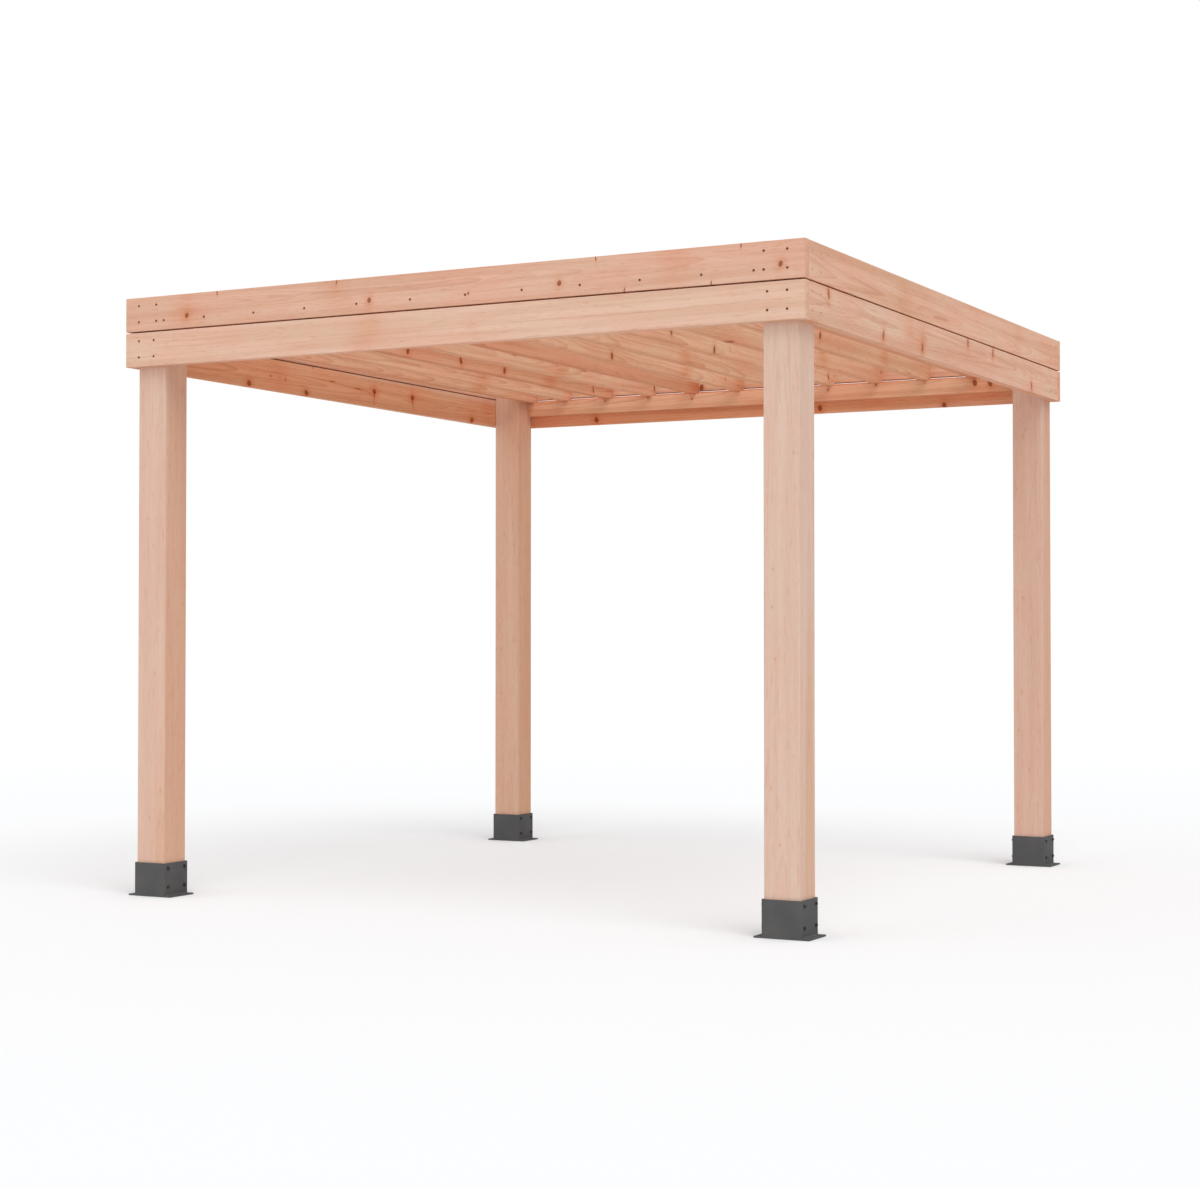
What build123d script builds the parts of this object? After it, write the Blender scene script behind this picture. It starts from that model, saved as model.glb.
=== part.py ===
from build123d import *
import os

os.makedirs("parts", exist_ok=True)

# A square garden pergola with a flat open roof, in millimetres.
# Origin: centre of the footprint, on the ground. X runs along the front, left to right,
# Y from the front to the back, Z up. Four posts stand in steel shoes. Two rows of boards,
# one above the other with a narrow gap, are fastened round the outside of the posts.
# Twelve rafters lie on two ledgers and fit between the front and the back boards.

# Planed timber, as it is sold
board_thickness = 38
board_height = 140
rafter_thickness = 38
rafter_height = 89
ledger_thickness = 38
ledger_height = 72
post_width = 140
board_edge_radius = 2
post_edge_radius = 5

# Cut lengths
front_length = 3048
side_length = 3048
post_length = 2464

# How the timber is set out
board_gap = 6
ledger_drop = 12
end_bay = 206.5
inner_rafters = 10

# Steel shoe under each post
plate_thickness = 6
riser_thickness = 6
riser_width = 30
riser_inset = 20
sleeve_wall = 5
sleeve_clearance = 3
sleeve_bend_radius = 8
sleeve_top = 138
flange_reach = 29
weld_leg = 4
anchor_hole_diameter = 12
anchor_hole_spacing = 100
fixing_hole_diameter = 9
fixing_edge_distance = 25
upper_fixing_drop = 20
lower_fixing_height = 41

# Overall sizes and levels that follow
overall_width = front_length
overall_depth = side_length + 2 * board_thickness
post_foot = plate_thickness + riser_thickness
rim_top = post_foot + post_length
upper_board_bottom = rim_top - board_height
lower_board_top = upper_board_bottom - board_gap
lower_board_bottom = lower_board_top - board_height
ledger_top = lower_board_top - ledger_drop

# Places of the post centres
post_x = overall_width / 2 - board_thickness - post_width / 2
post_y = overall_depth / 2 - board_thickness - post_width / 2

CORNERS = {
    "front_left": (-1, -1),
    "front_right": (1, -1),
    "back_left": (-1, 1),
    "back_right": (1, 1),
}


def timber(length_x, length_y, length_z, grain, edge_radius):
    """A planed stick, centred, with its four long edges eased and its ends sawn square."""
    stick = Box(length_x, length_y, length_z)
    return fillet(stick.edges().filter_by(grain), edge_radius)


def write(shape, node):
    shape.label = node
    export_step(shape, f"parts/{node}.step")


# Posts
def make_post(side, end):
    post = timber(post_width, post_width, post_length, Axis.Z, post_edge_radius)
    return Pos(side * post_x, end * post_y, post_foot + post_length / 2) * post


# Front and back boards run the full width and cover the ends of the side boards
def make_front_board(end, bottom):
    board = timber(front_length, board_thickness, board_height, Axis.X, board_edge_radius)
    y = end * (overall_depth / 2 - board_thickness / 2)
    return Pos(0, y, bottom + board_height / 2) * board


# Side boards fit between the front and the back boards
def make_side_board(side, bottom):
    board = timber(board_thickness, side_length, board_height, Axis.Y, board_edge_radius)
    x = side * (overall_width / 2 - board_thickness / 2)
    return Pos(x, 0, bottom + board_height / 2) * board


# A ledger lies on the inner face of a lower board, from post to post, and carries the rafters
def make_ledger(end):
    length = 2 * (post_x - post_width / 2)
    ledger = timber(length, ledger_thickness, ledger_height, Axis.X, board_edge_radius)
    y = end * (overall_depth / 2 - board_thickness - ledger_thickness / 2)
    return Pos(0, y, ledger_top - ledger_height / 2) * ledger


# The outer rafters lie against the inner faces of the posts. The others stand at an even
# pitch between the two end bays, which are a little narrower than the rest.
def rafter_places():
    outer = post_x - post_width / 2 - rafter_thickness / 2
    last_inner = outer - end_bay
    pitch = 2 * last_inner / (inner_rafters - 1)
    inner = [i * pitch - last_inner for i in range(inner_rafters)]
    return [-outer] + inner + [outer]


def make_rafter(x):
    rafter = timber(rafter_thickness, side_length, rafter_height, Axis.Y, board_edge_radius)
    return Pos(x, 0, ledger_top + rafter_height / 2) * rafter


# A shoe is a base plate with a folded sleeve and two risers welded to it. The plate reaches
# out past the sleeve to the left and the right, where it is bolted to the ground and where a
# fillet weld runs along the foot of the sleeve between its bends. The post stands on the
# risers, clear of water, and screws go into it through both side walls.
def make_shoe(side, end):
    sleeve_inside = post_width + 2 * sleeve_clearance
    sleeve_outside = sleeve_inside + 2 * sleeve_wall
    inner_bend_radius = max(sleeve_bend_radius - sleeve_wall, 0.5)
    plate_length = sleeve_outside + 2 * flange_reach
    anchor_x = (sleeve_outside + flange_reach) / 2

    anchors = GridLocations(2 * anchor_x, anchor_hole_spacing, 2, 2) * Circle(anchor_hole_diameter / 2)
    outline = Rectangle(plate_length, sleeve_outside) - anchors
    plate = extrude(outline, plate_thickness)

    wall = RectangleRounded(sleeve_outside, sleeve_outside, sleeve_bend_radius)
    wall -= RectangleRounded(sleeve_inside, sleeve_inside, inner_bend_radius)
    sleeve = Pos(0, 0, plate_thickness) * extrude(wall, sleeve_top - plate_thickness)

    riser_y = post_width / 2 - riser_inset - riser_width / 2
    riser_size = (post_width, riser_width, riser_thickness)
    riser = Pos(0, riser_y, plate_thickness + riser_thickness / 2) * Box(*riser_size)
    shoe = plate + sleeve + riser + mirror(riser, Plane.XZ)

    weld_root = (sleeve_outside / 2, plate_thickness)
    weld_toe = (sleeve_outside / 2 + weld_leg, plate_thickness)
    weld_head = (sleeve_outside / 2, plate_thickness + weld_leg)
    weld_section = Plane.XZ * make_face(Polyline(weld_root, weld_toe, weld_head, close=True))
    weld = extrude(weld_section, sleeve_outside / 2 - sleeve_bend_radius, both=True)
    shoe += weld + mirror(weld, Plane.YZ)

    fixing_y = sleeve_outside / 2 - fixing_edge_distance
    for height in (lower_fixing_height, sleeve_top - upper_fixing_drop):
        for y in (-fixing_y, fixing_y):
            through_wall = Rot(0, 90, 0) * Cylinder(fixing_hole_diameter / 2, 3 * sleeve_wall)
            for wall_side in (-1, 1):
                wall_x = wall_side * (sleeve_outside - sleeve_wall) / 2
                shoe -= Pos(wall_x, y, height) * through_wall
    return Pos(side * post_x, end * post_y, 0) * shoe


for corner, (side, end) in CORNERS.items():
    write(make_post(side, end), f"post_{corner}")
    write(make_shoe(side, end), f"shoe_{corner}")

for row, bottom in (("lower", lower_board_bottom), ("upper", upper_board_bottom)):
    for name, end in (("front", -1), ("back", 1)):
        write(make_front_board(end, bottom), f"{name}_board_{row}")
    for name, side in (("left", -1), ("right", 1)):
        write(make_side_board(side, bottom), f"{name}_board_{row}")

for name, end in (("front", -1), ("back", 1)):
    write(make_ledger(end), f"{name}_ledger")

for number, x in enumerate(rafter_places(), start=1):
    write(make_rafter(x), f"rafter_{number:02d}")
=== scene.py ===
# %% [markdown]
# # A timber pergola, dressed
# This lesson gives a packed pergola its finishes: planed softwood with growth rings, knots and
# sawn ends, powder-coated steel shoes, and the screws that hold it together. The timbers and
# shoes come in as finished solids in metres, so nothing here moves or resizes them.

# %% Load the frame
import bpy
import math
import random
from mathutils import Matrix, Vector


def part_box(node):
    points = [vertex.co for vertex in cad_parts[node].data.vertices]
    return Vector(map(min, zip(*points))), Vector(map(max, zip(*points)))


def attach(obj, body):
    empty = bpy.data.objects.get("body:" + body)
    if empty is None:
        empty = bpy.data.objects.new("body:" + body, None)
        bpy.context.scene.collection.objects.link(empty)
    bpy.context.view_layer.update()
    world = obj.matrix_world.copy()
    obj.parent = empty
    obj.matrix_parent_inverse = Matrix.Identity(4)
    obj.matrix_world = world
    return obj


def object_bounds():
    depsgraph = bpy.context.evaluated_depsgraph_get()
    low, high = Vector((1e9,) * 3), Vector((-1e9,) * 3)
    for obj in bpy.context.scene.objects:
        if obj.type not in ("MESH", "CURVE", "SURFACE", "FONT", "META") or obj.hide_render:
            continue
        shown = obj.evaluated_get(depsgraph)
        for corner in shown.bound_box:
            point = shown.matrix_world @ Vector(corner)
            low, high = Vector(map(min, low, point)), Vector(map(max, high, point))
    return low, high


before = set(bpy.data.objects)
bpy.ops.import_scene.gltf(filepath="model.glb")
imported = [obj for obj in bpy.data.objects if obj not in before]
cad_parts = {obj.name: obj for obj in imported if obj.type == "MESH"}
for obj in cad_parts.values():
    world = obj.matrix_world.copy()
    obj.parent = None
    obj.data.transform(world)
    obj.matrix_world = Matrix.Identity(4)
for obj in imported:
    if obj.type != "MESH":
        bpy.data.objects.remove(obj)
solid_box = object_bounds()
MM = 0.001
print("solids", len(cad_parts), "box", solid_box)

# %% [markdown]
# The camera stands low, about a metre above the ground and far off to the right of the front,
# and looks slightly up. A long lens keeps the posts almost parallel. The numbers come from
# fitting a pinhole camera to the corners of the pergola in the photograph.

# %% Camera
PHOTO_WIDTH = 1200
FOCAL_PIXELS = 2238.9
CAMERA_PLACE = (4.572, -8.841, 1.0585)
CAMERA_PITCH = 0.0207
CAMERA_TURN = 0.4881
camera_data = bpy.data.cameras.new("camera")
camera_data.sensor_width = 36
camera_data.lens = FOCAL_PIXELS / PHOTO_WIDTH * camera_data.sensor_width
camera_data.clip_end = 200
camera = bpy.data.objects.new("camera", camera_data)
camera.location = CAMERA_PLACE
camera.rotation_euler = (math.pi / 2 + CAMERA_PITCH, 0, CAMERA_TURN)
bpy.context.scene.collection.objects.link(camera)
bpy.context.scene.camera = camera
print("lens", round(camera_data.lens, 1), "mm")

# %% [markdown]
# Materials are wired by code here, and a few small helpers keep that readable. Each takes plain
# numbers or the outputs of other nodes, and hands back the output of the node it adds.

# %% Helpers for wiring nodes
def feed(tree, socket, term):
    """Link another node's output to a socket, or set a plain value on it."""
    if isinstance(term, bpy.types.NodeSocket):
        tree.links.new(term, socket)
    else:
        socket.default_value = term


def calc(tree, operation, *terms):
    """A Math node."""
    made = tree.nodes.new("ShaderNodeMath")
    made.operation = operation
    for socket, term in zip(made.inputs, terms):
        feed(tree, socket, term)
    return made.outputs[0]


def vector_calc(tree, operation, *terms):
    """A Vector Math node. Length and dot product come out as a number."""
    made = tree.nodes.new("ShaderNodeVectorMath")
    made.operation = operation
    for socket, term in zip(made.inputs, terms):
        feed(tree, socket, term)
    return made.outputs["Value" if operation in ("LENGTH", "DOT_PRODUCT") else "Vector"]


def fade(tree, value, start, end):
    """0 before start, 1 after end, smooth between."""
    made = tree.nodes.new("ShaderNodeMapRange")
    made.interpolation_type = "SMOOTHSTEP"
    for socket, term in zip(made.inputs, (value, start, end, 0.0, 1.0)):
        feed(tree, socket, term)
    return made.outputs[0]


def slide(tree, amount, first, second):
    """The first value at amount 0, the second at 1."""
    return calc(tree, "MULTIPLY_ADD", calc(tree, "SUBTRACT", second, first), amount, first)


def blend(tree, amount, first, second, kind="MIX"):
    """A colour Mix node."""
    made = tree.nodes.new("ShaderNodeMix")
    made.data_type = "RGBA"
    made.blend_type = kind
    for index, term in ((0, amount), (6, first), (7, second)):
        feed(tree, made.inputs[index], term)
    return made.outputs[2]


def noise(tree, place, stretch, detail=2.0):
    """A Noise node read at place times stretch, so a small number draws the pattern out."""
    made = tree.nodes.new("ShaderNodeTexNoise")
    made.inputs["Scale"].default_value = 1.0
    made.inputs["Detail"].default_value = detail
    tree.links.new(vector_calc(tree, "MULTIPLY", place, stretch), made.inputs["Vector"])
    return made


def new_material(name):
    """A material with an empty node tree."""
    material = bpy.data.materials.new(name)
    material.use_nodes = True
    material.node_tree.nodes.clear()
    return material, material.node_tree


# %% [markdown]
# The set is a white studio. A dome of even light gives most of it, a large soft sun from above
# and to the front right gives the faint shade that the open roof throws on the ground, and a
# weak lamp from the left of the camera keeps the front faces a little brighter than the right
# ones. The dome shows as plain white to the camera and in reflections.

# %% Studio
DOME = 0.705
SUN = 1.28
SUN_FROM = (0.42, -0.40, 0.86)
SUN_SPREAD = math.radians(44)
FILL = 0.38
FILL_FROM = (-0.55, -1.0, 0.25)
FILL_SPREAD = math.radians(60)
scene = bpy.context.scene
scene.view_settings.view_transform = "Standard"


def white_dome(strength):
    world = bpy.data.worlds.new("white_dome")
    world.use_nodes = True
    tree = world.node_tree
    tree.nodes.clear()
    path = tree.nodes.new("ShaderNodeLightPath")
    seen = calc(tree, "MAXIMUM", path.outputs["Is Camera Ray"], path.outputs["Is Glossy Ray"])
    seen = calc(tree, "MAXIMUM", seen, path.outputs["Is Transmission Ray"])
    sky = tree.nodes.new("ShaderNodeBackground")
    sky.inputs["Color"].default_value = (1, 1, 1, 1)
    rise = calc(tree, "MULTIPLY_ADD", seen, 1.0 - strength, strength)
    tree.links.new(rise, sky.inputs["Strength"])
    out = tree.nodes.new("ShaderNodeOutputWorld")
    tree.links.new(sky.outputs[0], out.inputs["Surface"])
    return world


def add_sun(name, strength, source, spread):
    light = bpy.data.lights.new(name, "SUN")
    light.energy = strength
    light.angle = spread
    lamp = bpy.data.objects.new(name, light)
    lamp.rotation_euler = Vector(source).to_track_quat("Z", "Y").to_euler()
    scene.collection.objects.link(lamp)


scene.world = white_dome(DOME)
add_sun("soft_sun", SUN, SUN_FROM, SUN_SPREAD)
add_sun("front_fill", FILL, FILL_FROM, FILL_SPREAD)

# %% [markdown]
# The floor is one big pale plane. It is diffuse, so it catches the shade, and far from the
# pergola it turns to plain white for the camera alone, so that no horizon line shows. Close by it
# is paler for the camera than for the light it throws back, because a floor that throws back all
# its light would make the undersides of the timbers brighter than their sides.

# %% Floor
FLOOR_SIZE = 160
FLOOR_DROP = 0.0005
FLOOR_SEEN = (0.914, 0.924, 0.935, 1)
FLOOR_BOUNCE = (0.80, 0.80, 0.80, 1)
WHITE_FROM = 6.0
WHITE_BY = 12.0


def deselect_all():
    for thing in bpy.context.selected_objects:
        thing.select_set(False)


def pale_floor():
    material, tree = new_material("pale_floor")
    coords = tree.nodes.new("ShaderNodeTexCoord")
    path = tree.nodes.new("ShaderNodeLightPath")
    paint = tree.nodes.new("ShaderNodeBsdfDiffuse")
    seen = path.outputs["Is Camera Ray"]
    tree.links.new(blend(tree, seen, FLOOR_BOUNCE, FLOOR_SEEN), paint.inputs["Color"])
    white = tree.nodes.new("ShaderNodeEmission")
    mix = tree.nodes.new("ShaderNodeMixShader")
    out = tree.nodes.new("ShaderNodeOutputMaterial")
    distance = vector_calc(tree, "LENGTH", coords.outputs["Object"])
    far = fade(tree, distance, WHITE_FROM, WHITE_BY)
    tree.links.new(calc(tree, "MULTIPLY", far, seen), mix.inputs["Fac"])
    tree.links.new(paint.outputs[0], mix.inputs[1])
    tree.links.new(white.outputs[0], mix.inputs[2])
    tree.links.new(mix.outputs[0], out.inputs["Surface"])
    return material


deselect_all()
bpy.ops.mesh.primitive_plane_add(size=FLOOR_SIZE, location=(0, 0, -FLOOR_DROP))
bpy.ops.object.transform_apply()
floor = bpy.context.object
floor.name = "floor"
floor.data.materials.append(pale_floor())
print("floor", FLOOR_SIZE, "m wide")

# %% [markdown]
# ## Softwood
# A planed board is a slice of a log. Its growth rings are tubes round the heart of the tree, so
# a wide face shows long lines or pointed arches, and a sawn end shows arcs. A flat picture of
# grain can't do that, so the wood here is solid: a ring is a distance from the heart, worked out
# in the board's own directions, which are x along the grain, y across the width and z through
# the thickness. Noise drawn out along the grain bends the rings and adds streaks and fibres.
# Faces that look down get a deeper colour: painted shade, standing in for the dimmer light that
# reaches them from below.
#
# The knots are one node group, and the growth rings and colours together are another, so that
# every timber can share them.

# %% A helper for node groups
def make_group(name, inputs, outputs):
    """An empty node group, what it is given and what is wanted from it."""
    group = bpy.data.node_groups.new(name, "ShaderNodeTree")
    for direction, sockets in (("INPUT", inputs), ("OUTPUT", outputs)):
        for label, kind in sockets:
            socket_type = "NodeSocket" + kind
            group.interface.new_socket(name=label, in_out=direction, socket_type=socket_type)
    given = group.nodes.new("NodeGroupInput").outputs
    wanted = group.nodes.new("NodeGroupOutput").inputs
    return group, given, wanted


print("helper", make_group.__name__)

# %% [markdown]
# A knot is a branch, cut across. It has a dark core with rings of its own and a ragged edge, a
# warm halo where the wood is full of resin, and the grain parts to run round it. One group makes
# one knot, and takes in the marks of the knots before it, so that any number can be chained. It
# hands on three numbers for each point: core, halo, and how far the grain is pushed aside.

# %% The knot group
RAGGED_STRETCH = (160, 260, 260)
# Distances below are shares of the knot's own size, so its core ends at about 1
RAGGEDNESS = 0.5
CORE_EDGE = (0.7, 1.1)
BRANCH_RINGS = 17.0
BRANCH_RING_DEPTH = 0.14
# The halo and the push fade as a bell curve, the push faster
HALO_FALL = -0.21
PUSH_FALL = -0.4
PUSH = -0.92


def make_knot_group():
    inputs = [("Place", "Vector"), ("Marks", "Vector"), ("Centre", "Vector"), ("Size", "Vector"),
              ("Lean", "Float"), ("Core", "Float"), ("Halo", "Float")]
    tree, given, wanted = make_group("knot", inputs, [("Marks", "Vector")])
    split = tree.nodes.new("ShaderNodeSeparateXYZ")
    tree.links.new(vector_calc(tree, "SUBTRACT", given["Place"], given["Centre"]), split.inputs[0])
    along, across, through = split.outputs
    leaning = tree.nodes.new("ShaderNodeCombineXYZ")
    shifted = calc(tree, "MULTIPLY_ADD", across, given["Lean"], along)
    for socket, term in zip(leaning.inputs, (shifted, across, through)):
        feed(tree, socket, term)

    ragged = noise(tree, given["Place"], RAGGED_STRETCH).outputs[0]
    reach = vector_calc(tree, "DIVIDE", leaning.outputs[0], given["Size"])
    reach = vector_calc(tree, "LENGTH", reach)
    rough_edge = calc(tree, "MULTIPLY_ADD", ragged, RAGGEDNESS, RAGGEDNESS / -2)
    reach = calc(tree, "ADD", reach, rough_edge)
    core = calc(tree, "SUBTRACT", 1.0, fade(tree, reach, *CORE_EDGE))
    waves = calc(tree, "COSINE", calc(tree, "MULTIPLY", reach, BRANCH_RINGS))
    branch_rings = calc(tree, "MULTIPLY_ADD", waves, BRANCH_RING_DEPTH, 1 - BRANCH_RING_DEPTH)
    core = calc(tree, "MULTIPLY", calc(tree, "MULTIPLY", core, branch_rings), given["Core"])

    squared = calc(tree, "MULTIPLY", reach, reach)
    glow = calc(tree, "EXPONENT", calc(tree, "MULTIPLY", squared, HALO_FALL))
    halo = calc(tree, "MULTIPLY", glow, given["Halo"])
    near = calc(tree, "EXPONENT", calc(tree, "MULTIPLY", squared, PUSH_FALL))
    push = calc(tree, "MULTIPLY", calc(tree, "MULTIPLY", across, near), PUSH)
    push = calc(tree, "MULTIPLY", push, given["Core"])

    marks = tree.nodes.new("ShaderNodeCombineXYZ")
    for socket, term in zip(marks.inputs, (core, halo, push)):
        feed(tree, socket, term)
    tree.links.new(vector_calc(tree, "ADD", given["Marks"], marks.outputs[0]), wanted["Marks"])
    return tree


knot_group = make_knot_group()
print("knot group", len(knot_group.nodes), "nodes")

# %% [markdown]
# Each year a tree adds pale, soft wood in spring and dark, hard wood in late summer. A log tapers,
# so its rings cut a long face at a slant and show as arches, and a slow noise makes them wander.
# Years differ in width and in how dark their late wood is, so a second noise runs from the heart
# outwards, and a random number is drawn for each whole year.

# %% Growth rings
RING_WIDTH = 4.2 * MM
LOG_TAPER = 0.012
WANDER = 34 * MM
WANDER_STRETCH = (0.8, 4, 4)
YEARS_SCALE = 60
YEARS_DIFFER = 3.0
FAINTEST_YEAR = 0.25
# How dark a ring is from spring to autumn, as (share of the year, grey)
SEASONS = ((0.45, 0.10), (0.80, 0.62), (0.93, 1.0))


def rings(tree, given, push):
    """How far each point is from the heart of the tree, and how dark its growth ring is there."""
    sown = vector_calc(tree, "ADD", given["Place"], given["Seed"])
    wander = noise(tree, sown, WANDER_STRETCH).outputs["Color"]
    wander = vector_calc(tree, "SUBTRACT", wander, (0.5, 0.5, 0.5))
    bent = vector_calc(tree, "MULTIPLY_ADD", wander, (0, WANDER, WANDER), given["Place"])
    aside = tree.nodes.new("ShaderNodeCombineXYZ")
    tree.links.new(push, aside.inputs["Y"])
    bent = vector_calc(tree, "ADD", bent, aside.outputs[0])
    from_heart = vector_calc(tree, "SUBTRACT", bent, given["Heart"])
    from_heart = vector_calc(tree, "MULTIPLY", from_heart, (0, 1, 1))
    along = tree.nodes.new("ShaderNodeSeparateXYZ")
    tree.links.new(given["Place"], along.inputs[0])
    distance = vector_calc(tree, "LENGTH", from_heart)
    radius = calc(tree, "MULTIPLY_ADD", along.outputs["X"], given["Taper"], distance)

    years = tree.nodes.new("ShaderNodeTexNoise")
    years.noise_dimensions = "1D"
    years.inputs["Scale"].default_value = YEARS_SCALE
    own_years = vector_calc(tree, "LENGTH", given["Seed"])
    tree.links.new(calc(tree, "ADD", radius, own_years), years.inputs["W"])
    even_age = calc(tree, "DIVIDE", radius, RING_WIDTH)
    age = calc(tree, "MULTIPLY_ADD", years.outputs[0], YEARS_DIFFER, even_age)
    season = tree.nodes.new("ShaderNodeValToRGB")
    season.color_ramp.elements[1].color = (0, 0, 0, 1)
    for position, grey in SEASONS:
        season.color_ramp.elements.new(position).color = (grey, grey, grey, 1)
    tree.links.new(calc(tree, "FRACT", age), season.inputs[0])
    year = tree.nodes.new("ShaderNodeTexWhiteNoise")
    year.noise_dimensions = "1D"
    tree.links.new(calc(tree, "FLOOR", age), year.inputs["W"])
    strength = calc(tree, "MULTIPLY_ADD", year.outputs[0], 1 - FAINTEST_YEAR, FAINTEST_YEAR)
    ring = calc(tree, "MULTIPLY", season.outputs[0], strength)
    return sown, radius, ring


print("ring width", round(RING_WIDTH / MM, 1), "mm")

# %% [markdown]
# The colours are laid over one another as stains would be, each one multiplied with what is
# there: wide streaks and blotches, the late wood, the paler sapwood outside the heartwood, short
# flecks and dashes of resin, and a fine weave of fibres, which shows as pores on a sawn end. Only
# the core of a knot covers what is under it. The weave and the rings also change the roughness,
# which is highest on a sawn end, and the bump is fed by the weave, rings, flecks and cores.

# %% Colours and patterns of the wood
LATEWOOD = (0.80, 0.62, 0.52, 1)
STREAK_LIGHT = (1.05, 1.07, 1.09, 1)
STREAK_DARK = (0.94, 0.88, 0.83, 1)
BLUSH = (1.01, 0.94, 0.93, 1)
STRAW = (0.99, 1.04, 1.04, 1)
POST_SAPWOOD = (1.02, 1.12, 1.24, 1)
BOARD_SAPWOOD = (1.03, 1.22, 1.45, 1)
FLECK = (0.78, 0.60, 0.50, 1)
DASH = (0.88, 0.78, 0.70, 1)
HALO = (0.90, 0.58, 0.40, 1)
KNOT_CORE = (0.21, 0.045, 0.010, 1)
SAWN_END = (0.96, 0.93, 0.90, 1)
# Undersides are multiplied by this: painted shade on faces that look down
UNDERSIDE_SHADE = (0.97, 0.86, 0.77, 1)
# How finely each pattern repeats along the grain, across it and through the thickness
STREAK_STRETCH = (0.9, 34, 34)
BLOTCH_STRETCH = (3, 8, 8)
FIBRE_STRETCH = (16, 800, 800)
PORE_STRETCH = (900, 900, 900)
FLECK_STRETCH = (26, 380, 380)
DASH_STRETCH = (11, 95, 95)
# The noise values between which each pattern comes in
STREAK_EDGE = (0.36, 0.64)
BLOTCH_EDGE = (0.34, 0.66)
FLECK_EDGE = (0.62, 0.74)
DASH_EDGE = (0.60, 0.72)
LATEWOOD_SHARE = 0.75
FLECK_SHARE = 0.45
DASH_SHARE = 0.45
WEAVE_DEPTH = 0.20
HEARTWOOD_BLUR = 8 * MM
# The roughness of planed wood, and what the weave, the rings and a sawn end add to it
PLANED_ROUGHNESS = 0.64
WEAVE_ROUGHENS = 0.16
RING_ROUGHENS = -0.08
END_ROUGHENS = 0.15
# What each pattern adds to the height that the bump reads
WEAVE_HEIGHT = 0.45
RING_HEIGHT = 0.45
FLECK_HEIGHT = -0.35
CORE_HEIGHT = 0.3
print("a fibre is about", round(1 / FIBRE_STRETCH[1] / MM, 2), "mm wide")

# %% The softwood group
def make_softwood_group():
    inputs = [("Place", "Vector"), ("Seed", "Vector"), ("Heart", "Vector"), ("Heartwood", "Float"),
              ("Taper", "Float"), ("Marks", "Vector"), ("End", "Float"), ("Under_shade", "Float"),
              ("Wood", "Color"), ("Sapwood", "Color"), ("Figure", "Float")]
    outputs = [("Color", "Color"), ("Roughness", "Float"), ("Height", "Float")]
    tree, given, wanted = make_group("softwood", inputs, outputs)
    marks = tree.nodes.new("ShaderNodeSeparateXYZ")
    tree.links.new(given["Marks"], marks.inputs[0])
    core, halo, push = marks.outputs
    sown, radius, ring = rings(tree, given, push)

    streak = noise(tree, sown, STREAK_STRETCH, 4).outputs[0]
    blotch = noise(tree, sown, BLOTCH_STRETCH, 2).outputs[0]
    fibre = noise(tree, sown, FIBRE_STRETCH, 2).outputs[0]
    pores = noise(tree, sown, PORE_STRETCH, 1).outputs[0]
    weave = slide(tree, given["End"], fibre, pores)
    fleck = fade(tree, noise(tree, sown, FLECK_STRETCH, 1).outputs[0], *FLECK_EDGE)
    side = calc(tree, "SUBTRACT", 1.0, given["End"])
    fleck = calc(tree, "MULTIPLY", fleck, side)
    dash = fade(tree, noise(tree, sown, DASH_STRETCH, 1).outputs[0], *DASH_EDGE)
    dash = calc(tree, "MULTIPLY", dash, side)

    streaks = blend(tree, fade(tree, streak, *STREAK_EDGE), STREAK_LIGHT, STREAK_DARK)
    colour = blend(tree, given["Figure"], given["Wood"], streaks, "MULTIPLY")
    mottle = blend(tree, fade(tree, blotch, *BLOTCH_EDGE), BLUSH, STRAW)
    colour = blend(tree, given["Figure"], colour, mottle, "MULTIPLY")
    latewood = calc(tree, "MULTIPLY", calc(tree, "MULTIPLY", ring, given["Figure"]), LATEWOOD_SHARE)
    colour = blend(tree, latewood, colour, LATEWOOD, "MULTIPLY")
    outer = calc(tree, "SUBTRACT", radius, given["Heartwood"])
    outer = fade(tree, outer, -HEARTWOOD_BLUR, HEARTWOOD_BLUR)
    colour = blend(tree, outer, colour, given["Sapwood"], "MULTIPLY")
    colour = blend(tree, calc(tree, "MULTIPLY", fleck, FLECK_SHARE), colour, FLECK, "MULTIPLY")
    colour = blend(tree, calc(tree, "MULTIPLY", dash, DASH_SHARE), colour, DASH, "MULTIPLY")
    weave_shade = calc(tree, "MULTIPLY_ADD", weave, WEAVE_DEPTH, 1 - WEAVE_DEPTH / 2)
    colour = vector_calc(tree, "MULTIPLY", colour, weave_shade)
    colour = blend(tree, calc(tree, "MINIMUM", halo, 1.0), colour, HALO, "MULTIPLY")
    colour = blend(tree, calc(tree, "MINIMUM", core, 1.0), colour, KNOT_CORE)
    colour = blend(tree, given["End"], colour, SAWN_END, "MULTIPLY")
    # Faces that look down are darkened here: painted shade
    colour = blend(tree, given["Under_shade"], colour, UNDERSIDE_SHADE, "MULTIPLY")
    tree.links.new(colour, wanted["Color"])

    rough = calc(tree, "MULTIPLY_ADD", weave, WEAVE_ROUGHENS, PLANED_ROUGHNESS)
    rough = calc(tree, "MULTIPLY_ADD", ring, RING_ROUGHENS, rough)
    rough = calc(tree, "MULTIPLY_ADD", given["End"], END_ROUGHENS, rough)
    tree.links.new(rough, wanted["Roughness"])
    height = calc(tree, "MULTIPLY", ring, RING_HEIGHT)
    height = calc(tree, "MULTIPLY_ADD", weave, WEAVE_HEIGHT, height)
    height = calc(tree, "MULTIPLY_ADD", fleck, FLECK_HEIGHT, height)
    height = calc(tree, "MULTIPLY_ADD", core, CORE_HEIGHT, height)
    tree.links.new(height, wanted["Height"])
    return tree


softwood_group = make_softwood_group()
print("softwood group", len(softwood_group.nodes), "nodes")
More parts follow.
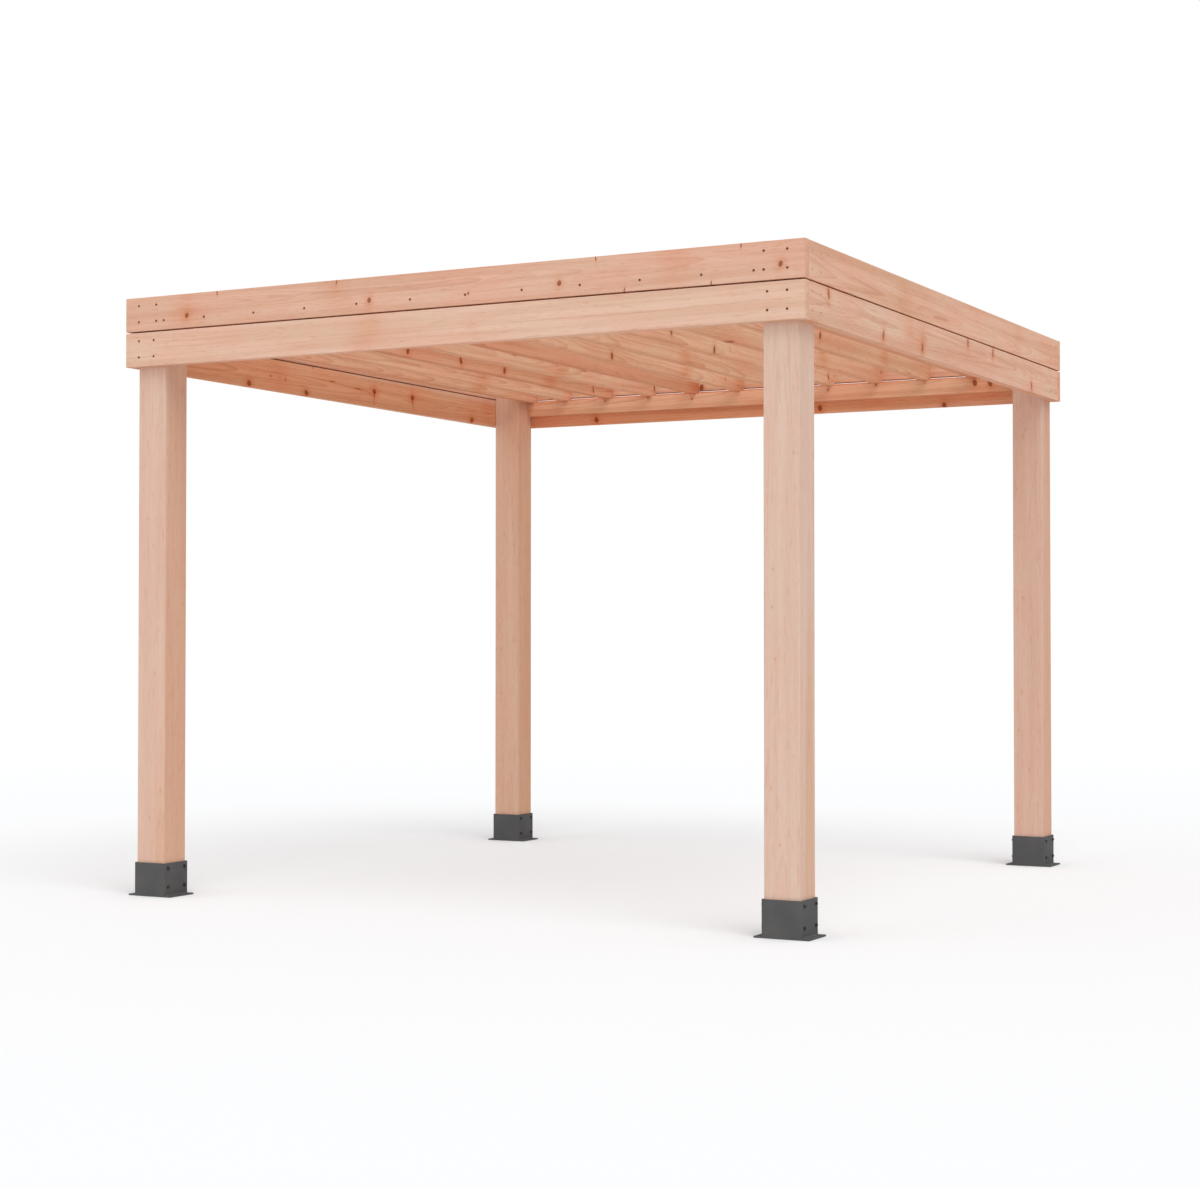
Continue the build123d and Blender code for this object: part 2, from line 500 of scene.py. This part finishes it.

# %% [markdown]
# ## Each timber is its own piece of wood
# One material on every board would repeat the same knots. So each timber gets a material of its
# own around the shared group: where its heart lay, its own seed, a tone, and its own knots.
# The marks that the photograph shows are listed, in millimetres from the middle of the timber.
# The boards and rafters whose marks it hides get a few knots at random, and the posts, which are
# nearly clear, get a few small specks. The random ones are the same on every run.

# %% Which way the wood runs
# Rows: along the grain, across the width, through the thickness
GRAIN = {
    "x": Matrix(((1, 0, 0), (0, 0, 1), (0, -1, 0))),
    "y": Matrix(((0, 1, 0), (0, 0, 1), (1, 0, 0))),
    "z": Matrix(((0, 0, 1), (1, 0, 0), (0, 1, 0))),
}


def grain_of(node):
    """The axis that a timber's grain runs along."""
    if node.startswith("post"):
        return "z"
    if node.startswith("rafter") or node.startswith(("left_board", "right_board")):
        return "y"
    return "x"


print("grain runs along", {node: grain_of(node) for node in ("post_front_left", "rafter_01")})

# %% Kinds of knot
# Half length and half width in millimetres, darkness of the core, strength of the halo
KNOT_KINDS = {
    "round": (9.5, 12.0, 0.86, 0.55),
    "oval": (12.5, 17.5, 0.95, 0.70),
    "tall": (11.0, 21.5, 0.68, 0.60),
    "wide": (17.0, 14.0, 0.90, 0.80),
    "spike": (11.0, 19.0, 1.0, 0.55),
    "slit": (7.0, 17.0, 1.0, 0.45),
    "tick": (2.8, 12.0, 0.9, 0.3),
    "pin": (4.4, 5.4, 0.9, 0.5),
    "dash": (28.0, 3.2, 0.8, 0.35),
    "tail": (4.0, 34.0, 0.45, 0.4),
    "glow": (34.0, 46.0, 0.0, 0.32),
    "patch": (30.0, 30.0, 0.0, 0.55),
    "speck": (5.0, 2.6, 0.30, 0.25),
}
KNOT_LEAN = 0.25
print("knot kinds", list(KNOT_KINDS))

# %% Knots that the photograph shows
# Kind, millimetres along the timber from its middle, millimetres across
KNOTS = {
    "front_board_upper": [
        ("round", -1208, -20), ("round", -314, -21), ("round", 535, -18), ("round", 1431, -16),
        ("pin", 138, -27), ("tick", -1054, 61), ("tick", -468, 61), ("tick", 689, 62),
        ("tick", 1278, 63), ("tick", 808, -66), ("tick", 1160, -66), ("glow", -1208, 10),
        ("glow", -480, 30), ("glow", 1010, 20)],
    "front_board_lower": [("glow", -330, 0)],
    "right_board_lower": [
        ("tall", -1341, 46), ("tall", -788, -36), ("tall", -351, -35), ("tall", 211, 51),
        ("tall", 547, 47), ("tall", 1107, -41), ("glow", -500, 50), ("glow", -351, 20)],
    "right_board_upper": [("glow", -553, -10), ("glow", 900, 0)],
    "left_board_lower": [
        ("wide", -770, -56), ("pin", -610, -7), ("pin", -497, -12), ("wide", -333, -57),
        ("wide", 231, 4), ("tail", 231, -22), ("wide", 573, 6), ("tail", 573, -16),
        ("wide", 1143, -56), ("tick", -284, 68), ("dash", -124, 17), ("dash", 90, 4),
        ("glow", -547, 31), ("glow", 1303, 12)],
    "back_board_lower": [
        ("oval", -952, -46), ("oval", 312, -45), ("oval", 960, -64), ("glow", 600, 20)],
    # The pins on the ledger, one under each of five rafters' ends, are painted shadow of those ends
    "back_ledger": [
        ("oval", 1129, 11), ("oval", 1204, 6), ("pin", -882, 27), ("pin", -630, 28),
        ("pin", -378, 10), ("pin", 370, 17), ("pin", 624, 28)],
    # The patches near 1470 mm on rafters 05, 06 and 07 warm their back ends by the ledger: painted
    # warm bounced light and shade
    "rafter_01": [("patch", 900, 0)],
    "rafter_02": [("patch", 620, 10)],
    "rafter_03": [
        ("oval", -450, -17), ("oval", 1, -12), ("oval", 400, -14), ("slit", 1302, -17),
        ("patch", 852, -20)],
    "rafter_04": [("slit", 1507, -2), ("dash", 740, 6), ("dash", 64, 8), ("patch", 520, 0)],
    "rafter_05": [("patch", 1470, 0)],
    "rafter_06": [("spike", 84, -24), ("pin", 1304, -2), ("patch", 858, -25), ("patch", 1481, -14)],
    "rafter_07": [("patch", 336, -20), ("patch", 1470, 0)],
    "rafter_08": [("round", -322, -2), ("spike", 108, -24), ("slit", 1436, -3), ("tick", 273, -5)],
    "rafter_09": [("dash", -244, -44), ("pin", 1505, 11), ("patch", 760, 10)],
    "rafter_10": [("spike", 120, 10), ("patch", 900, 0)],
}
print("knots placed by hand", sum(len(marks) for marks in KNOTS.values()))

# %% Knots and specks at random
HIDDEN_KINDS = ("round", "oval", "tick", "pin", "glow")
HIDDEN_COUNT = (3, 6)
# How far from the middle they may lie, as shares of the length and of the width
HIDDEN_ALONG = 0.46
HIDDEN_ACROSS = 0.42
POST_SPECKS = 6
SPECKS_ALONG = 1100
SPECKS_ACROSS = 55


def random_knots(luck, length, width):
    """A few knots for a stick that the photograph hides, in millimetres from its middle."""
    kinds = luck.choices(HIDDEN_KINDS, k=luck.randint(*HIDDEN_COUNT))
    knots = []
    for kind in kinds:
        along = luck.uniform(-HIDDEN_ALONG, HIDDEN_ALONG) * length
        knots.append((kind, along, luck.uniform(-HIDDEN_ACROSS, HIDDEN_ACROSS) * width))
    return knots


def knots_of(node, luck, length, width):
    """A timber's knots. What is drawn for a post is set aside, because posts only get specks."""
    knots = KNOTS.get(node) or random_knots(luck, length, width)
    if node.startswith("post"):
        knots = []
        for _ in range(POST_SPECKS):
            along = luck.uniform(-SPECKS_ALONG, SPECKS_ALONG)
            knots.append(("speck", along, luck.uniform(-SPECKS_ACROSS, SPECKS_ACROSS)))
    return knots


print("each post gets", POST_SPECKS, "specks")

# %% Tone of each timber
def screen(red, green, blue):
    """A colour given as a screen shows it, from 0 to 255, as the shaders need it."""
    shares = [channel / 255 for channel in (red, green, blue)]
    return tuple(s / 12.92 if s <= 0.04045 else ((s + 0.055) / 1.055) ** 2.4 for s in shares) + (1,)


# Each tone was matched to how its timber looks where it stands, so part of it is painted light: the
# deep orange of the lower back and left boards stands for warm light bounced between the timbers,
# and the paler back upper board and back right post make up for the shade under the roof
TONE = {
    "front_board_upper": screen(222, 178, 155),
    "front_board_lower": screen(226, 187, 165),
    "right_board_upper": screen(223, 178, 152),
    "right_board_lower": screen(224, 182, 158),
    "left_board_lower": screen(217, 160, 124),
    "back_board_lower": screen(225, 157, 119),
    "back_board_upper": screen(225, 181, 153),
    "back_ledger": screen(225, 172, 139),
    "post_front_right": screen(219, 180, 156),
    "post_front_left": screen(219, 177, 152),
    "post_back_left": screen(215, 168, 139),
    "post_back_right": screen(215, 171, 146),
}
BOARD_TONE = screen(217, 168, 141)
RAFTER_PALE = screen(224, 177, 146)
RAFTER_DEEP = screen(212, 153, 120)
# How pale each rafter is that the photograph shows, from 0 to 1
RAFTER_PALENESS = {
    "rafter_01": 0.6, "rafter_02": 0.95, "rafter_03": 0.2, "rafter_04": 0.9, "rafter_05": 0.1,
    "rafter_06": 1.0, "rafter_07": 0.85, "rafter_08": 1.0, "rafter_09": 0.9, "rafter_10": 0.95,
}


def tone_of(node, luck):
    """A timber's own tone, and for a rafter one between the deep and the pale tone."""
    if not node.startswith("rafter"):
        return TONE.get(node, BOARD_TONE)
    share = RAFTER_PALENESS.get(node, luck.random())
    return [deep + (pale - deep) * share for deep, pale in zip(RAFTER_DEEP, RAFTER_PALE)]


print("tones set by hand", len(TONE) + len(RAFTER_PALENESS))

# %% Heart of each timber
# Where the heart lay, in millimetres across and through from the middle of the timber
HEART = {
    "front_board_upper": (24, 82),
    "front_board_lower": (165, 60),
    "right_board_upper": (-30, -90),
    "right_board_lower": (18, -74),
    "left_board_lower": (-4, 80),
    "back_board_lower": (6, 80),
    "post_front_left": (50, 10),
    "post_back_left": (50, 12),
    "post_front_right": (0, 15),
    # The back right post's heart lies so that its side is deeper heartwood and its front paler
    # sapwood: real wood, placed to paint shade on the side
    "post_back_right": (30, 25),
}
# How far the heartwood reaches, in millimetres from the heart. Past it lies paler sapwood, which
# most boards and rafters don't reach.
HEARTWOOD = {"left_board_lower": 96, "back_board_lower": 96}
POST_HEARTWOOD = 72
ALL_HEARTWOOD = 1000
# This post's taper is turned round, so its top lies in deeper heartwood: painted shade and warm
# bounced light under the roof
SHADED_TOP_POSTS = ("post_back_left",)
# Where a heart lies by luck: how far across, then the nearest and the furthest through
POST_HEART_SPREAD = (12, 0, 12)
BOARD_HEART_SPREAD = (60, 50, 110)


def heart_of(node, luck):
    """Where a timber's heart lay, as listed if it is, and otherwise by luck."""
    spread = POST_HEART_SPREAD if node.startswith("post") else BOARD_HEART_SPREAD
    across = luck.uniform(-1, 1) * spread[0]
    through = luck.choice((-1, 1)) * luck.uniform(*spread[1:])
    return HEART.get(node) or (across, through)


print("hearts placed by hand", len(HEART))

# %% How strongly the grain shows
# A woodworker calls this the figure. The posts are calm, and the timbers inside are lively.
POST_FIGURE = 0.35
FRONT_FIGURE = 0.72
RIGHT_FIGURE = 1.05
INNER_FIGURE = 1.3


def figure_of(node):
    figures = (("post", POST_FIGURE), ("front_board", FRONT_FIGURE), ("right", RIGHT_FIGURE))
    for start, figure in figures:
        if node.startswith(start):
            return figure
    return INNER_FIGURE


print("strongest figure", INNER_FIGURE)

# %% One material for each timber
FIRST_SEED = 700
SEED_REACH = 30
# How squarely a face looks along the grain, or down, before it counts as an end, or as an underside
# with painted shade
END_FACING = (0.6, 0.8)
SHADE_DOWN_FACING = (0.4, 0.8)
GRAIN_BUMP = 0.35
GRAIN_DEPTH = 0.3 * MM
WOOD_SHINE = 0.1


def add_knots(tree, place, knots, luck):
    """Chain one knot group for each knot, and give back what they add up to."""
    marks = None
    for kind, along, across in knots:
        half_length, half_width, core, halo = KNOT_KINDS[kind]
        knot = tree.nodes.new("ShaderNodeGroup")
        knot.node_tree = knot_group
        tree.links.new(place, knot.inputs["Place"])
        knot.inputs["Centre"].default_value = (along * MM, across * MM, 0)
        knot.inputs["Size"].default_value = (half_length * MM, half_width * MM, 1)
        knot.inputs["Lean"].default_value = luck.uniform(-KNOT_LEAN, KNOT_LEAN)
        knot.inputs["Core"].default_value = core
        knot.inputs["Halo"].default_value = halo
        if marks:
            tree.links.new(marks, knot.inputs["Marks"])
        marks = knot.outputs["Marks"]
    return marks


def make_wood(node, order):
    luck = random.Random(FIRST_SEED + order)
    low, high = (Vector(corner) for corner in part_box(node))
    turn = GRAIN[grain_of(node)]
    size = turn @ (high - low)
    is_post = node.startswith("post")
    knots = knots_of(node, luck, abs(size.x) / MM, abs(size.y) / MM)
    heart = heart_of(node, luck)
    tone = tone_of(node, luck)

    material, tree = new_material("wood_" + node)
    coords = tree.nodes.new("ShaderNodeTexCoord")
    place = tree.nodes.new("ShaderNodeMapping")
    place.inputs["Rotation"].default_value = turn.to_euler("XYZ")
    place.inputs["Location"].default_value = turn @ (low + high) * -0.5
    tree.links.new(coords.outputs["Object"], place.inputs["Vector"])
    normal = coords.outputs["Normal"]
    facing = calc(tree, "ABSOLUTE", vector_calc(tree, "DOT_PRODUCT", normal, turn[0]))
    facing_down = vector_calc(tree, "DOT_PRODUCT", normal, (0, 0, -1))

    wood = tree.nodes.new("ShaderNodeGroup")
    wood.node_tree = softwood_group
    tree.links.new(place.outputs[0], wood.inputs["Place"])
    tree.links.new(fade(tree, facing, *END_FACING), wood.inputs["End"])
    # How much a face looks down, for the painted shade of undersides
    tree.links.new(fade(tree, facing_down, *SHADE_DOWN_FACING), wood.inputs["Under_shade"])
    wood.inputs["Seed"].default_value = [luck.uniform(-SEED_REACH, SEED_REACH) for _ in range(3)]
    wood.inputs["Heart"].default_value = (0, heart[0] * MM, heart[1] * MM)
    heartwood = HEARTWOOD.get(node) or (POST_HEARTWOOD if is_post else ALL_HEARTWOOD)
    wood.inputs["Heartwood"].default_value = heartwood * MM
    # A turned taper darkens the top of that post: painted shade
    wood.inputs["Taper"].default_value = -LOG_TAPER if node in SHADED_TOP_POSTS else LOG_TAPER
    wood.inputs["Figure"].default_value = figure_of(node)
    wood.inputs["Wood"].default_value = tone
    wood.inputs["Sapwood"].default_value = POST_SAPWOOD if is_post else BOARD_SAPWOOD
    tree.links.new(add_knots(tree, place.outputs[0], knots, luck), wood.inputs["Marks"])

    bump = tree.nodes.new("ShaderNodeBump")
    bump.inputs["Strength"].default_value = GRAIN_BUMP
    bump.inputs["Distance"].default_value = GRAIN_DEPTH
    shader = tree.nodes.new("ShaderNodeBsdfPrincipled")
    shader.inputs["Specular IOR Level"].default_value = WOOD_SHINE
    out = tree.nodes.new("ShaderNodeOutputMaterial")
    tree.links.new(wood.outputs["Height"], bump.inputs["Height"])
    tree.links.new(bump.outputs[0], shader.inputs["Normal"])
    tree.links.new(wood.outputs["Color"], shader.inputs["Base Color"])
    tree.links.new(wood.outputs["Roughness"], shader.inputs["Roughness"])
    tree.links.new(shader.outputs[0], out.inputs["Surface"])
    return material


def finish_with(node, material):
    """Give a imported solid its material, and leave its shape alone."""
    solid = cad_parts[node]
    solid.data.materials.clear()
    solid.data.materials.append(material)


timbers = sorted(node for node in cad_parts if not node.startswith("shoe"))
for order, node in enumerate(timbers):
    finish_with(node, make_wood(node, order))
print("timbers finished", len(timbers))

# %% [markdown]
# ## Powder-coated steel
# The shoes are welded steel under a charcoal powder coat. Such a coat is plastic, not metal, so
# the shader is a dark dielectric, fairly rough. Powder melts into tiny waves, called orange
# peel, which break up the highlights, and a little dust dulls it unevenly.

# %% Coated steel
CHARCOAL = screen(85, 85, 86)
DUSTY = screen(94, 93, 92)
PEEL_SCALE = 420
PEEL_BUMP = 0.25
PEEL_DEPTH = 0.2 * MM
DUST_SCALE = 9
DUST_EDGE = (0.35, 0.75)
DUST_ROUGHENS = 0.16


def make_coating(name, fresh, dulled, roughness, shine):
    """A coat of powder or paint on steel."""
    material, tree = new_material(name)
    coords = tree.nodes.new("ShaderNodeTexCoord")
    place = coords.outputs["Object"]
    peel = noise(tree, place, (PEEL_SCALE, PEEL_SCALE, PEEL_SCALE), 1).outputs[0]
    dust = noise(tree, place, (DUST_SCALE, DUST_SCALE, DUST_SCALE), 5).outputs[0]
    bump = tree.nodes.new("ShaderNodeBump")
    bump.inputs["Strength"].default_value = PEEL_BUMP
    bump.inputs["Distance"].default_value = PEEL_DEPTH
    tree.links.new(peel, bump.inputs["Height"])
    shader = tree.nodes.new("ShaderNodeBsdfPrincipled")
    shader.inputs["Specular IOR Level"].default_value = shine
    out = tree.nodes.new("ShaderNodeOutputMaterial")
    tree.links.new(bump.outputs[0], shader.inputs["Normal"])
    dusty = fade(tree, dust, *DUST_EDGE)
    rough = calc(tree, "MULTIPLY_ADD", dust, DUST_ROUGHENS, roughness - DUST_ROUGHENS / 2)
    tree.links.new(blend(tree, dusty, fresh, dulled), shader.inputs["Base Color"])
    tree.links.new(rough, shader.inputs["Roughness"])
    tree.links.new(shader.outputs[0], out.inputs["Surface"])
    return material


COAT_ROUGHNESS = 0.7
COAT_SHINE = 0.08
coating = make_coating("charcoal_powder_coat", CHARCOAL, DUSTY, COAT_ROUGHNESS, COAT_SHINE)
shoes = sorted(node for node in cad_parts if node.startswith("shoe"))
for node in shoes:
    finish_with(node, coating)
print("shoes finished", len(shoes))

# %% [markdown]
# ## Board screws
# The boards are held by coated exterior screws: four at each end of a board, into the post, and
# one into each rafter's end along the upper front and back boards. The front and back boards
# have brown heads, which show as dark dots, and the side boards have tan ones, which hardly show.
# One head is modelled by hand from a cylinder: the top is drawn in to slope the rim, raised and
# drawn in again as a low crown, and inset. Every fourth corner of the inner face is drawn in to
# make a six-lobed star, and the star is pushed down into the head. Each place then gets a copy,
# turned at random as a driver leaves it.

# %% Helpers for modelling
def pick(piece, kind, wanted):
    """Enter edit mode with only the wanted faces, or vertices, of a piece selected."""
    if bpy.context.object.mode == "OBJECT":
        bpy.ops.object.mode_set(mode="EDIT")
    bpy.ops.mesh.select_mode(type=kind)
    bpy.ops.mesh.select_all(action="DESELECT")
    bpy.ops.object.mode_set(mode="OBJECT")
    parts = piece.data.polygons if kind == "FACE" else piece.data.vertices
    for part in parts:
        part.select = wanted(part)
    bpy.ops.object.mode_set(mode="EDIT")


def squeeze(share, centre):
    """Scale what is selected across Z about a centre."""
    bpy.ops.transform.resize(value=(share, share, 1), center_override=centre)


print("helpers", [helper.__name__ for helper in (pick, squeeze)])

# %% One board screw
HEAD_RADIUS = 4.8 * MM
HEAD_PROUD = 1.1 * MM
HEAD_SUNK = 0.8 * MM
HEAD_SIDES = 24
RIM_SHARE = 0.93
CROWN_HEIGHT = 0.35 * MM
CROWN_SHARE = 0.8
STAR_RADIUS = 2.4 * MM
STAR_WAIST = 0.74
STAR_DEPTH = 1.3 * MM
STAR_FLOOR_SHARE = 0.86
STAR_LOBES = 6
# How near a face or corner has to be to count as the one that is looked for
CLOSE = 0.01 * MM
CLOSE_SHARE = 1.05
CLOSE_TURN = math.radians(3)
CENTRE_FACE = 0.2 * MM
FACES_UP = 0.9


def is_top(height):
    return lambda face: face.normal.z > FACES_UP and abs(face.center.z - height) < CLOSE


def model_board_screw():
    deselect_all()
    bpy.ops.mesh.primitive_cylinder_add(
        vertices=HEAD_SIDES, radius=HEAD_RADIUS, depth=HEAD_PROUD + HEAD_SUNK,
        location=(0, 0, (HEAD_PROUD - HEAD_SUNK) / 2))
    bpy.ops.object.transform_apply()
    head = bpy.context.object
    head.name = "board_screw"
    pick(head, "FACE", is_top(HEAD_PROUD))
    squeeze(RIM_SHARE, (0, 0, HEAD_PROUD))
    bpy.ops.mesh.extrude_region_move(TRANSFORM_OT_translate={"value": (0, 0, CROWN_HEIGHT)})
    squeeze(CROWN_SHARE, (0, 0, HEAD_PROUD))
    bpy.ops.mesh.inset(thickness=HEAD_RADIUS * RIM_SHARE * CROWN_SHARE - STAR_RADIUS)
    bpy.ops.object.mode_set(mode="OBJECT")
    top = HEAD_PROUD + CROWN_HEIGHT
    lobe = 2 * math.pi / STAR_LOBES

    def in_waist(corner):
        level = abs(corner.co.z - top) < CLOSE
        on_star = level and Vector(corner.co.xy).length < STAR_RADIUS * CLOSE_SHARE
        turned = math.atan2(corner.co.y, corner.co.x) % lobe
        return on_star and min(turned, lobe - turned) < CLOSE_TURN

    def is_centre(face):
        return is_top(top)(face) and Vector(face.center.xy).length < CENTRE_FACE

    pick(head, "VERT", in_waist)
    squeeze(STAR_WAIST, (0, 0, top))
    pick(head, "FACE", is_centre)
    bpy.ops.mesh.extrude_region_move(TRANSFORM_OT_translate={"value": (0, 0, -STAR_DEPTH)})
    squeeze(STAR_FLOOR_SHARE, (0, 0, top))
    bpy.ops.object.mode_set(mode="OBJECT")
    return head


board_screw = model_board_screw()
screw_size = [round(v / MM, 2) for v in board_screw.dimensions]
print("board screw faces", len(board_screw.data.polygons), "size in mm", screw_size)

# %% Places of the board screws
# Rows are measured down from a board's top, and columns in from the pergola's corners
UPPER_ROW = 34 * MM
LOWER_ROW = 101 * MM
FRONT_UPPER_COLUMNS = (67 * MM, 158 * MM)
FRONT_LOWER_COLUMNS = (68 * MM, 145 * MM)
SIDE_COLUMNS = (67.7 * MM, 150 * MM)
OUTWARD = {
    "front": Vector((0, -1, 0)),
    "back": Vector((0, 1, 0)),
    "left": Vector((-1, 0, 0)),
    "right": Vector((1, 0, 0)),
}
body_low, body_high = (Vector(corner) for corner in solid_box)
rafters = sorted(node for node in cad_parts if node.startswith("rafter"))


def middle(node):
    low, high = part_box(node)
    return (Vector(low) + Vector(high)) / 2


def screw_places(side, row):
    """Points on the outer face of one board, four at each end and one at each rafter."""
    low, high = (Vector(corner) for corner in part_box(f"{side}_board_{row}"))
    outward = OUTWARD[side]
    thickness = abs((high - low).dot(outward))
    face = (low + high) / 2 + outward * thickness / 2
    heights = (high.z - UPPER_ROW, high.z - LOWER_ROW)
    places = []
    if side in ("front", "back"):
        columns = FRONT_UPPER_COLUMNS if row == "upper" else FRONT_LOWER_COLUMNS
        for column in columns:
            for x in (low.x + column, high.x - column):
                places += [Vector((x, face.y, z)) for z in heights]
        if row == "upper":
            places += [Vector((middle(rafter).x, face.y, heights[1])) for rafter in rafters]
    else:
        for column in SIDE_COLUMNS:
            for y in (body_low.y + column, body_high.y - column):
                places += [Vector((face.x, y, z)) for z in heights]
    return places


print("screws in the upper front board", len(screw_places("front", "upper")))

# %% Helpers for fitting the screws
def join_pieces(pieces, name):
    """Join pieces into one object, and name it and its mesh."""
    deselect_all()
    for piece in pieces:
        piece.select_set(True)
    bpy.context.view_layer.objects.active = pieces[0]
    if len(pieces) > 1:
        bpy.ops.object.join()
    joined = bpy.context.object
    joined.name = name
    joined.data.name = name
    return joined


def fit_copies(model, name, places, outward, luck):
    """Copy a model to every place, facing outward, and join the copies into one object."""
    copies = []
    for place in places:
        copy = model.copy()
        copy.data = model.data.copy()
        facing = outward.to_track_quat("Z", "Y").to_matrix().to_4x4()
        turned = Matrix.Rotation(luck.uniform(0, 2 * math.pi), 4, "Z")
        copy.data.transform(Matrix.Translation(place) @ facing @ turned)
        scene.collection.objects.link(copy)
        copies.append(copy)
    return join_pieces(copies, name)


def keep_piece(piece, material, slot):
    """Finish a new piece, and tell the frame what it rides on. The slot is not used."""
    piece.data.materials.clear()
    piece.data.materials.append(material)
    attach(piece, "root")


print("helpers", [helper.__name__ for helper in (join_pieces, fit_copies, keep_piece)])

# %% Fit the board screws
SCREW_BROWN = screen(110, 68, 48)
SCREW_WORN = screen(128, 84, 62)
SCREW_TAN = screen(200, 158, 134)
SCREW_TAN_WORN = screen(210, 168, 145)
SCREW_ROUGHNESS = 0.55
SCREW_SHINE = 0.15
SCREW_SEED = 31
screw_brown = make_coating(
    "brown_screw_coating", SCREW_BROWN, SCREW_WORN, SCREW_ROUGHNESS, SCREW_SHINE)
screw_tan = make_coating(
    "tan_screw_coating", SCREW_TAN, SCREW_TAN_WORN, SCREW_ROUGHNESS, SCREW_SHINE)
luck = random.Random(SCREW_SEED)
for side in OUTWARD:
    for row in ("upper", "lower"):
        places = screw_places(side, row)
        screws = fit_copies(board_screw, f"{side}_{row}_screws", places, OUTWARD[side], luck)
        finish = screw_brown if side in ("front", "back") else screw_tan
        keep_piece(screws, finish, "coated_steel")
        print(screws.name, len(screws.data.polygons), "faces")

# %% [markdown]
# ## Shoe screws
# Black hex screws with a flange run through both side walls of each shoe into the post. The
# head starts as a cylinder with six sides. Its top edge is bevelled, and its top is inset and
# pushed down into a shallow dimple. The flange is a wider round that slopes up to meet it.

# %% One shoe screw
HEX_SIDES = 6
HEX_RADIUS = 5.8 * MM
HEX_HEIGHT = 5.5 * MM
HEX_CHAMFER = 0.9 * MM
HEX_CHAMFER_STEPS = 2
DIMPLE_RIM = 0.8 * MM
DIMPLE_DEPTH = 0.5 * MM
FLANGE_RADIUS = 7.5 * MM
FLANGE_THICKNESS = 1.6 * MM
FLANGE_SIDES = 32
FLANGE_TOP_SHARE = 0.78
FLANGE_OVERLAP = 0.9


def model_shoe_screw():
    deselect_all()
    bpy.ops.mesh.primitive_cylinder_add(
        vertices=FLANGE_SIDES, radius=FLANGE_RADIUS, depth=FLANGE_THICKNESS,
        location=(0, 0, FLANGE_THICKNESS / 2))
    bpy.ops.object.transform_apply()
    flange = bpy.context.object
    pick(flange, "FACE", is_top(FLANGE_THICKNESS))
    squeeze(FLANGE_TOP_SHARE, (0, 0, FLANGE_THICKNESS))
    bpy.ops.object.mode_set(mode="OBJECT")
    deselect_all()
    seat = FLANGE_THICKNESS * FLANGE_OVERLAP
    bpy.ops.mesh.primitive_cylinder_add(
        vertices=HEX_SIDES, radius=HEX_RADIUS, depth=HEX_HEIGHT,
        location=(0, 0, seat + HEX_HEIGHT / 2))
    bpy.ops.object.transform_apply()
    hexagon = bpy.context.object
    top = seat + HEX_HEIGHT
    pick(hexagon, "FACE", is_top(top))
    bpy.ops.mesh.bevel(offset=HEX_CHAMFER, segments=HEX_CHAMFER_STEPS)
    pick(hexagon, "FACE", is_top(top))
    bpy.ops.mesh.inset(thickness=DIMPLE_RIM)
    bpy.ops.mesh.extrude_region_move(TRANSFORM_OT_translate={"value": (0, 0, -DIMPLE_DEPTH)})
    bpy.ops.object.mode_set(mode="OBJECT")
    return join_pieces([flange, hexagon], "shoe_screw")


shoe_screw = model_shoe_screw()
screw_size = [round(v / MM, 2) for v in shoe_screw.dimensions]
print("shoe screw faces", len(shoe_screw.data.polygons), "size in mm", screw_size)

# %% Fit the shoe screws
# Where the walls of a shoe are drilled: in from their edges, up from the ground and down from
# their tops
FIXING_EDGE_DISTANCE = 25 * MM
LOWER_FIXING_HEIGHT = 41 * MM
UPPER_FIXING_DROP = 20 * MM
SCREW_BLACK = screen(46, 46, 47)
SCREW_SCUFFED = screen(60, 60, 61)
BLACK_ROUGHNESS = 0.4
screw_black = make_coating(
    "black_screw_coating", SCREW_BLACK, SCREW_SCUFFED, BLACK_ROUGHNESS, SCREW_SHINE)
for node in shoes:
    low, high = (Vector(corner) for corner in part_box(node))
    centre = (low + high) / 2
    wall = (high.y - low.y) / 2
    pieces = []
    for outward in (OUTWARD["left"], OUTWARD["right"]):
        places = []
        for z in (LOWER_FIXING_HEIGHT, high.z - UPPER_FIXING_DROP):
            for y in (FIXING_EDGE_DISTANCE - wall, wall - FIXING_EDGE_DISTANCE):
                places.append(Vector((centre.x + outward.x * wall, centre.y + y, z)))
        pieces.append(fit_copies(shoe_screw, node + "_side_screws", places, outward, luck))
    screws = join_pieces(pieces, node + "_screws")
    keep_piece(screws, screw_black, "coated_steel")
    print(screws.name, len(screws.data.polygons), "faces")

for model in (board_screw, shoe_screw):
    bpy.data.objects.remove(model)
